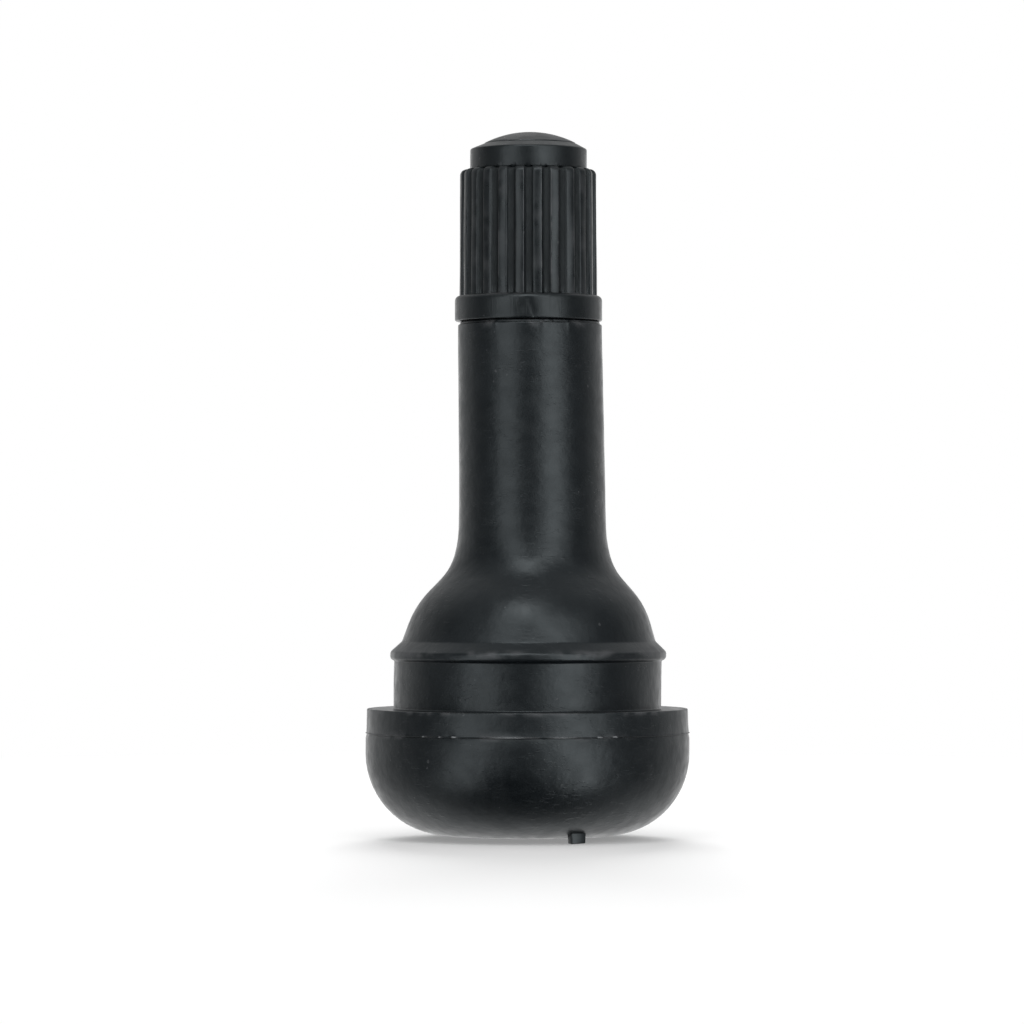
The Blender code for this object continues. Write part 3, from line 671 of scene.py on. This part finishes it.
def add_tab(body):
    """Join the moulding tab to the body's underside: a small block, torn off unevenly."""
    shape = bmesh.new()
    shape.from_mesh(body.data)
    made = bmesh.ops.create_cube(shape, size=1.0)
    corners = made["verts"]
    faces = {face for corner in corners for face in corner.link_faces}
    edges = {edge for corner in corners for edge in corner.link_edges}
    turn = math.radians(TAB_ANGLE)
    for corner in corners:
        low = corner.co.z < 0
        slope = TAB_FOOT_SLOPE * corner.co.y if low else 0.0
        depth = corner.co.x * TAB_SIZE[0] * (TAB_FOOT_SHARE[0] if low else 1.0)
        width = corner.co.y * TAB_SIZE[1] * (TAB_FOOT_SHARE[1] if low else 1.0)
        along = TAB_RADIUS + depth
        x = along * math.cos(turn) - width * math.sin(turn)
        y = along * math.sin(turn) + width * math.cos(turn)
        corner.co = (x, y, max(0.0, slope) if low else TAB_TOP)
    bmesh.ops.bevel(
        shape, geom=list(edges) + list(faces), offset=TAB_BEVEL, segments=3, affect="EDGES",
        profile=0.5)
    shape.to_mesh(body.data)
    shape.free()
    finish_mesh(body.data, 38.0)


def make_stem(material):
    """The brass tube, with the mouth's thread outside and the core's thread inside."""
    corners, _ = section("brass_stem")
    outline = rounded(softened(corners, bevel=0.00006), longest=0.001)
    thread_foot = MOUTH - MOUTH_THREAD_END - 0.001
    outline = refined(outline, lambda radius, height: height > thread_foot, longest=MOUTH_PITCH / 11)
    radius, height, angle = spin(outline, even_angles(144))
    depth = MOUTH - height
    threaded = (radius > MOUTH_ROOT - 0.0001) & (depth < MOUTH_THREAD_END + 0.0004)
    fade = 1 - smooth(MOUTH_THREAD_END - MOUTH_RUN_OUT, MOUTH_THREAD_END, depth)
    rise = thread_rise(height, angle, MOUTH_PITCH)
    form = MOUTH_ROOT + (MOUTH_CREST - MOUTH_ROOT) * rise * fade
    radius = np.where(threaded, np.minimum(radius, form), radius)
    bore = CORE_CREST + THREAD_CLEARANCE
    thread_end = PLUG_HIGH.z - PLUG_LOW.z + CORE_THREAD_PAST
    inside = (np.abs(radius - bore) < 0.00004) & (depth < thread_end)
    fade = smooth(*CORE_THREAD_LEAD, depth)
    rise = thread_rise(height, angle, CORE_PITCH)
    form = bore - (CORE_CREST - CORE_ROOT) * (1 - rise) * fade
    radius = np.where(inside, form, radius)
    stand_in(skin("brass_tube", radius, height, angle), "brass_stem", "root", material)


def make_plug(material):
    """Threaded core plug with its two flats."""
    head_radius = CORE_CREST - 0.00063
    shoulder = PLUG_LOW.z + CORE_THREAD_LENGTH
    bore = 0.0011
    socket = 0.0017
    socket_roof = PLUG_LOW.z + 0.0013
    half_flats = 0.0014
    outline = rounded([
        (head_radius, PLUG_HIGH.z, 0.00012),
        (head_radius, shoulder, 0.00005),
        (CORE_CREST, shoulder, 0.00012),
        (CORE_CREST, PLUG_LOW.z, 0.00015),
        (socket, PLUG_LOW.z, 0.00005),
        (socket, socket_roof, 0.00005),
        (bore, socket_roof, 0.00005),
        (bore, PLUG_HIGH.z, 0.00010),
    ], longest=CORE_PITCH / 10)
    radius, height, angle = spin(outline, even_angles(144))
    threaded = (radius > CORE_ROOT) & (height < shoulder)
    rise = thread_rise(height, angle, CORE_PITCH)
    form = CORE_ROOT + (CORE_CREST - CORE_ROOT) * rise
    radius = np.where(threaded, np.minimum(radius, form), radius)
    reach = half_flats / np.maximum(np.abs(np.sin(angle)), 1e-6)
    flats = (height > shoulder + 0.00002) & (radius > bore + 0.0002)
    radius = np.where(flats, np.minimum(radius, reach), radius)
    stand_in(skin("core_head", radius, height, angle, sharp=30.0), "core_plug", "root", material)


def make_turned(name, node_name, body, material, bevel):
    """A turned piece of the core, from the CAD node's own section with softened edges."""
    corners, closed = section(node_name)
    outline = rounded(softened(corners, bevel), closed=closed, longest=0.0002)
    radius, height, angle = spin(outline, even_angles(96))
    stand_in(skin(name, radius, height, angle, closed=closed), node_name, body, material)


def make_spring(material):
    """Coil between the pin's collar and the barrel's floor, with its end turns closed."""
    turns, wire, per_turn = 6, 0.00014, 40
    outer = SPRING_HIGH.x
    low = SPRING_LOW.z + wire
    high = SPRING_HIGH.z - wire
    closed_pitch = 2.3 * wire
    open_pitch = (high - low - 2 * closed_pitch) / (turns - 2)
    curve = bpy.data.curves.new("coil", "CURVE")
    curve.dimensions = "3D"
    curve.bevel_depth = wire
    curve.bevel_resolution = 3
    curve.use_fill_caps = True
    spline = curve.splines.new("POLY")
    spline.points.add(turns * per_turn)
    height = low
    for index, point in enumerate(spline.points):
        angle = 2 * math.pi * index / per_turn
        point.co = ((outer - wire) * math.cos(angle), (outer - wire) * math.sin(angle), height, 1)
        in_end = index < per_turn or index >= (turns - 1) * per_turn
        height += (closed_pitch if in_end else open_pitch) / per_turn
    guide = bpy.data.objects.new("coil", curve)
    bpy.context.scene.collection.objects.link(guide)
    bpy.context.view_layer.update()
    mesh = bpy.data.meshes.new_from_object(
        guide.evaluated_get(bpy.context.evaluated_depsgraph_get()))
    bpy.data.objects.remove(guide)
    weld(mesh)
    finish_mesh(mesh, 50.0)
    spring = bpy.data.objects.new("spring_coil", mesh)
    bpy.context.scene.collection.objects.link(spring)
    stand_in(spring, "core_spring", "root", material)
    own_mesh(spring)


def rib_angles():
    """Angles that crowd at the edges of the flutes, in radians."""
    half = RIB_PITCH / 2
    offsets = sorted({side * offset for offset in RIB_FORM for side in (-1, 1)} - {-half})
    return np.radians([RIB_PHASE + rib * RIB_PITCH + o for rib in range(RIBS) for o in offsets])


def nearest_rib(angle):
    """Number of the nearest rib, and the angle past the middle of its crest in degrees."""
    turn = (np.degrees(angle) - RIB_PHASE) / RIB_PITCH
    number = np.round(turn)
    return number, (turn - number) * RIB_PITCH


def rib_share(angle, height):
    """1 on a rib's crest and 0 in a flute, with how far each crest leans to one side."""
    number, away = nearest_rib(angle)
    share = np.interp(np.abs(away), list(RIB_FORM), list(RIB_FORM.values()))
    number = number.astype(int) % RIBS
    twist = RIB_TWIST * np.sin(number * 2.4 + height * 2 * math.pi / (CREST_TOP - COLLAR_TOP))
    lean = (np.array(RIB_LEANS)[number] + twist) * away / (RIB_PITCH / 2)
    return share, lean * share


def rubbed_lines(around):
    """Thin rubbed lines along the ribs' edges, each rib with one strong and one faint."""
    number, away = nearest_rib(around)
    low, spread = RUBBED_STRONG
    strong = low + spread * np.abs(np.sin(number * 2.9 + RUBBED_PHASE))
    chosen = np.sign(away) == np.sign(np.sin(number * 1.7 + RUBBED_PHASE))
    on_line = np.abs(np.abs(away) - RUBBED_AT) < RUBBED_REACH
    return on_line * np.where(chosen, strong, RUBBED_FAINT)


def skirt_outline(low_radius, high_radius, top, top_round):
    """Side of the skirt from the crown's foot down to the collar."""
    arc_steps = 9
    centre = (high_radius - top_round, top - top_round)
    points = [(CROWN_RADIUS - 0.0001, top)]
    for step in range(arc_steps + 1):
        angle = math.pi / 2 * (1 - step / arc_steps)
        radius = centre[0] + top_round * math.cos(angle)
        points.append((radius, centre[1] + top_round * math.sin(angle)))
    steps = 12
    head = points[-1][1]
    foot = COLLAR_TOP - 0.0001
    for step in range(1, steps + 1):
        share = step / steps
        radius = high_radius + (low_radius - high_radius) * share
        points.append((radius, head * (1 - share) + foot * share))
    return np.array(points)


def make_cap(material):
    """The dust cap: dome, crown, tapered ribs and collar outside, and its thread inside."""
    dome_rows = 15
    tilt = math.asin(DOME_RADIUS / DOME_SPHERE) * np.arange(dome_rows) / (dome_rows - 1)
    drop = DOME_SPHERE * (1 - np.cos(tilt))
    dome = np.stack([DOME_SPHERE * np.sin(tilt), DOME_TOP - drop], 1)
    foot = DOME_TOP - drop[-1]
    crown = rounded([
        (DOME_RADIUS, foot),
        (DOME_RADIUS + 0.00002, foot - 0.00005),
        (DOME_RADIUS + 0.00013, foot - 0.00009, 0.00006),
        (CROWN_RADIUS, CROWN_TOP, 0.00014),
        (CROWN_RADIUS, CREST_TOP + 0.00003),
    ], closed=False, longest=0.00025, arc_step=10.0)
    valley = skirt_outline(VALLEY_RADIUS, VALLEY_RADIUS, VALLEY_TOP, top_round=0.00022)
    crest = skirt_outline(CREST_LOW_RADIUS, CREST_HIGH_RADIUS, CREST_TOP, top_round=0.00040)
    collar = rounded([
        (COLLAR_RADIUS - 0.00045, COLLAR_TOP),
        (COLLAR_RADIUS, COLLAR_TOP, 0.00034),
        (COLLAR_RADIUS, CAP_BOTTOM, 0.00012),
        (MOUTH_CREST + 0.00022, CAP_BOTTOM, 0.00005),
        (MOUTH_CREST + 0.00005, CAP_BOTTOM + 0.00017),
    ], closed=False, longest=0.00025, arc_step=10.0)
    bore = rounded([
        (MOUTH_CREST + THREAD_CLEARANCE, CAP_BOTTOM + 0.00018),
        (MOUTH_CREST + THREAD_CLEARANCE, MOUTH - CONE_FOOT),
        (CROWN_BORE, MOUTH - CONE_HEAD),
    ], closed=False, longest=MOUTH_PITCH / 7)
    roof = rounded([
        (CROWN_BORE, MOUTH - CONE_HEAD),
        (CROWN_BORE, CAP_ROOF, 0.0001),
        (0.0, CAP_ROOF),
    ], closed=False, longest=0.0008)
    upper = np.concatenate([dome, crown[1:]])
    lower = np.concatenate([collar, bore, roof[1:]])
    angles = rib_angles()
    radius, height, angle = spin(np.concatenate([upper, valley, lower]), angles)
    ribs = slice(len(upper), len(upper) + len(valley))
    share, lean = rib_share(angle[ribs], height[ribs])
    radius[ribs] += share * (crest[:, :1] - valley[:, :1]) + RIB_LEAN * lean
    height[ribs] += share * (crest[:, 1:] - valley[:, 1:])
    depth = MOUTH - height
    inside = np.zeros(radius.shape, bool)
    inside[len(upper) + len(valley) + len(collar):] = True
    rise = thread_rise(height, angle, MOUTH_PITCH)
    fade = smooth(0.0, CAP_THREAD_LEAD, height - CAP_BOTTOM - CAP_THREAD_START)
    form = MOUTH_CREST - (MOUTH_CREST - MOUTH_ROOT) * (1 - rise) * fade + THREAD_CLEARANCE
    threaded = inside & (depth > CONE_FOOT)
    radius = np.where(threaded, form, radius)
    cone = inside & (depth <= CONE_FOOT) & (depth > CONE_HEAD)
    radius = np.where(cone, np.minimum(radius, form), radius)
    outside = ~inside
    wave = ripple(angle, height, seed=12, waves=4, scale=90.0)
    radius = radius + outside * wave * CAP_WAVE * smooth(0.0, 0.002, radius)
    radius = radius + outside * lumps(angle, height, CAP_LUMPS)
    off_axis = DOME_SHIFT * outside * smooth(CROWN_TOP, foot, height)
    cap = skin("dust_cap", radius, height, angle, closed=False, shift=off_axis, sharp=40.0)
    x, y, level = np.array([vertex.co for vertex in cap.data.vertices]).T
    around = np.arctan2(y, x)
    reach = np.hypot(x, y)
    on_ribs = (level > COLLAR_TOP) & (level < CREST_TOP) & (reach > VALLEY_RADIUS + 0.0001)
    scuffs = ripple(around * 5, level, seed=21, waves=4, scale=300.0)
    edges = on_ribs * 0.5 + near(level, COLLAR_TOP, 0.00012) + near(level, foot, 0.00006)
    edges = edges * (0.5 + 0.5 * scuffs) * (reach > DOME_RADIUS - 0.0002)
    lines = rubbed_lines(around) * on_ribs
    store(cap, "wear", np.maximum(np.clip(edges, 0, 1), lines))
    skirt = (level > COLLAR_TOP) & (level < VALLEY_TOP) & (reach < CREST_HIGH_RADIUS)
    crest_side = CREST_LOW_RADIUS - 0.00006
    # Painted shade: darkens the flutes between the ribs
    store(cap, "hollow", skirt * (1 - smooth(VALLEY_RADIUS + 0.00004, crest_side, reach)))
    stand_in(cap, "cap", "cap", material)


def make_floor():
    """Pale ground that keeps the valve's soft shadow and is white to the camera elsewhere."""
    mesh = bpy.data.meshes.new("floor")
    half = FLOOR_SIZE / 2
    corners = [(-half, -half, 0.0), (half, -half, 0.0), (half, half, 0.0), (-half, half, 0.0)]
    mesh.from_pydata(corners, [], [(0, 1, 2, 3)])
    floor = bpy.data.objects.new("floor", mesh)
    bpy.context.scene.collection.objects.link(floor)
    material, tree, shader = blank_material("pale_floor")
    tree.nodes.remove(shader)
    output = next(n for n in tree.nodes if n.type == "OUTPUT_MATERIAL")
    away = node(tree, "ShaderNodeVectorMath", {"operation": "LENGTH"})
    feed(tree, away.inputs[0], place(tree))
    far = remap(tree, away.outputs["Value"], SHADOW_REACH, SHADOW_REACH * 2)
    path = node(tree, "ShaderNodeLightPath")
    seen = path.outputs["Is Camera Ray"]
    matt = node(tree, "ShaderNodeBsdfDiffuse", Color=(*FLOOR_COLOR, 1.0))
    glow = node(tree, "ShaderNodeEmission", Color=(1.0, 1.0, 1.0, 1.0))
    feed(tree, glow.inputs["Strength"], times(tree, seen, FLOOR_GLOW))
    lit = node(tree, "ShaderNodeAddShader")
    tree.links.new(matt.outputs[0], lit.inputs[0])
    tree.links.new(glow.outputs[0], lit.inputs[1])
    white = node(tree, "ShaderNodeEmission", Color=(1.0, 1.0, 1.0, 1.0), Strength=1.0)
    either = node(tree, "ShaderNodeMixShader")
    feed(tree, either.inputs[0], times(tree, seen, far))
    tree.links.new(lit.outputs[0], either.inputs[1])
    tree.links.new(white.outputs[0], either.inputs[2])
    tree.links.new(either.outputs[0], output.inputs["Surface"])
    mesh.materials.append(material)
    floor.visible_glossy = False


def make_world():
    """White to the camera; for light, pale behind and below the valve and dark in front."""
    world = bpy.data.worlds.new("studio")
    bpy.context.scene.world = world
    world.use_nodes = True
    tree = world.node_tree
    background = tree.nodes["Background"]
    direction = node(tree, "ShaderNodeTexCoord").outputs["Generated"]
    x, y, z = node(tree, "ShaderNodeSeparateXYZ", Vector=direction).outputs
    side = remap(tree, y, *SIDE_Y)
    fall = remap(tree, z, *FALL_Z)
    deep = remap(tree, z, *DEEP_Z)
    front = remap(tree, y, *FRONT_Y)
    middle = remap(tree, arithmetic(tree, "ABSOLUTE", x, 0.0), *MIDDLE_X)
    dark = times(tree, times(tree, deep, front), middle)
    dim = arithmetic(tree, "SUBTRACT", 1.0, dark)
    behind = times(tree, times(tree, side, fall), dim)
    backdrop = times(tree, remap(tree, y, *BACKDROP_Y), remap(tree, z, *BACKDROP_Z))
    behind = arithmetic(tree, "ADD", behind, backdrop)
    above = remap(tree, z, *ABOVE_Z)
    below = times(tree, remap(tree, y, *BELOW_Y), remap(tree, z, *BELOW_Z))
    level = arithmetic(tree, "ADD", arithmetic(tree, "ADD", behind, above), below)
    path = node(tree, "ShaderNodeLightPath")
    through = arithmetic(
        tree, "MAXIMUM", path.outputs["Is Camera Ray"], path.outputs["Is Transmission Ray"])
    light = node(tree, "ShaderNodeCombineColor", Red=level, Green=level, Blue=level)
    color = mixed(tree, through, light.outputs[0], (1.0, 1.0, 1.0))
    feed(tree, background.inputs["Color"], color)
    background.inputs["Strength"].default_value = 1.0


def make_light(
        name, azimuth, size, power, elevation=0.0, distance=0.42, lean=0.0, glossy=True):
    """Soft box that points at the middle of the valve, turned by its lean in its own plane."""
    lamp = bpy.data.lights.new(name, "AREA")
    lamp.shape = "RECTANGLE"
    lamp.size, lamp.size_y = size
    lamp.energy = power
    light = bpy.data.objects.new(name, lamp)
    turn, rise = math.radians(azimuth), math.radians(elevation)
    away = Vector((
        math.sin(turn) * math.cos(rise), -math.cos(turn) * math.cos(rise), math.sin(rise)))
    middle = Vector((0.0, 0.0, CAP_TOP / 2))
    light.location = middle + away * distance
    roll = Quaternion((0.0, 0.0, 1.0), math.radians(lean))
    light.rotation_euler = (away.to_track_quat("Z", "Y") @ roll).to_euler()
    light.visible_camera = False
    light.visible_glossy = glossy
    bpy.context.scene.collection.objects.link(light)


def make_camera():
    """Long lens at the photo's height and distance."""
    camera = bpy.data.cameras.new("camera")
    camera.lens = CAMERA_LENS
    camera.sensor_width = 36.0
    camera.clip_start = 0.01
    holder = bpy.data.objects.new("camera", camera)
    holder.location = CAMERA_PLACE
    holder.rotation_euler = (math.radians(CAMERA_TILT), 0.0, 0.0)
    bpy.context.scene.collection.objects.link(holder)
    bpy.context.scene.camera = holder


def main():
    """Dress the valve and set the studio."""
    rubber = make_moulded(
        "moulded_rubber", dark=(0.0034, 0.0050, 0.0066), pale=(0.0058, 0.0078, 0.0096),
        worn=(0.10, 0.10, 0.105), smoothest=0.29, roughest=0.38, grain_depth=0.000005,
        lay=(1500.0, 1500.0, 6500.0), lay_depth=0.000008)
    plastic = make_moulded(
        "moulded_plastic", dark=(0.0036, 0.0052, 0.0064), pale=(0.0062, 0.0080, 0.0094),
        worn=(0.09, 0.09, 0.095), smoothest=0.27, roughest=0.37, grain_depth=0.000003,
        lay=(5200.0, 5200.0, 420.0), lay_depth=0.000006)
    brass = make_metal(
        "turned_brass", bright=(0.74, 0.55, 0.26), dull=(0.52, 0.36, 0.16), smoothest=0.20,
        roughest=0.36, groove_depth=0.000006)
    steel = make_metal(
        "plated_steel", bright=(0.64, 0.63, 0.60), dull=(0.46, 0.45, 0.43), smoothest=0.18,
        roughest=0.32, groove_depth=0.000004)
    soft = make_soft_rubber("gasket_rubber")

    make_rubber_body(rubber)
    make_cap(plastic)
    make_stem(brass)
    make_plug(brass)
    make_turned("core_tube", "core_barrel", "root", brass, bevel=0.00005)
    make_turned("cone_gasket", "barrel_gasket", "root", soft, bevel=0.00006)
    make_turned("valve_pin", "core_pin", "pin", steel, bevel=0.00004)
    make_turned("rivet_cup", "pin_cup", "pin", brass, bevel=0.00004)
    make_turned("sealing_washer", "seat_gasket", "pin", soft, bevel=0.00008)
    make_turned("crown_washer", "cap_seal", "cap_seal", soft, bevel=0.0001)
    make_spring(steel)

    make_floor()
    make_world()
    make_light("left_softbox", azimuth=-39.0, size=(0.23, 0.80), power=0.77, lean=-22.0)
    make_light("right_softbox", azimuth=33.0, size=(0.20, 0.80), power=1.03, lean=13.0)
    make_light("right_edge", azimuth=52.0, size=(0.10, 0.75), power=0.19)
    make_light("right_inner", azimuth=13.0, size=(0.08, 0.75), power=0.08)
    make_light("top_softbox", azimuth=-8.0, size=(0.22, 0.17), power=0.36, elevation=52.0)
    make_light(
        "back_softbox", azimuth=180.0, size=(0.26, 0.40), power=3.9, elevation=30.0, distance=0.60,
        glossy=False)
    make_camera()
    bpy.context.scene.view_settings.view_transform = "Standard"


main()
